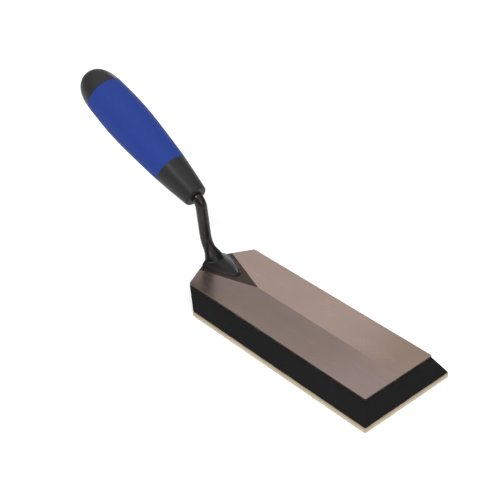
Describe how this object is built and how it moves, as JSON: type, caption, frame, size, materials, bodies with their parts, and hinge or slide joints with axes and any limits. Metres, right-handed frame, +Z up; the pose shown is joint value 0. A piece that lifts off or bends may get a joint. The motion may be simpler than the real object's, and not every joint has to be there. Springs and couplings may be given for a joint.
{
  "type": "rubber-faced margin float",
  "caption": "Small hand float: narrow steel margin blade with a foam-backed gum rubber face, swan-neck forged tang and a moulded soft-grip handle.",
  "frame": {"origin": "centre of the gum rubber working face, on the face", "axes": "+X towards the toe, +Y to the left seen from the handle, +Z up from the working face; the handle rises towards -X"},
  "size_m": [0.2697, 0.0642, 0.1031],
  "materials": {
    "gum_rubber": "matte cream gum rubber",
    "cement": "dried contact cement",
    "foam": "matte closed-cell foam with a sawn edge",
    "ground_steel": "satin ground carbon steel with lacquered heel",
    "black_lacquer": "semi-gloss black lacquer",
    "core_plastic": "plain moulded core",
    "black_grip": "soft-touch black",
    "blue_grip": "soft-touch blue"
  },
  "bodies": {
    "root": {"gum_face": "gum_rubber", "face_cement": "cement", "foam_pad": "foam", "plate_cement": "cement", "blade": "ground_steel", "tang": "black_lacquer", "tang_weld": "black_lacquer", "handle_core": "core_plastic", "nose_sleeve": "black_grip", "grip_sleeve": "blue_grip", "butt_cap": "black_grip"}
  },
  "joints": []
}
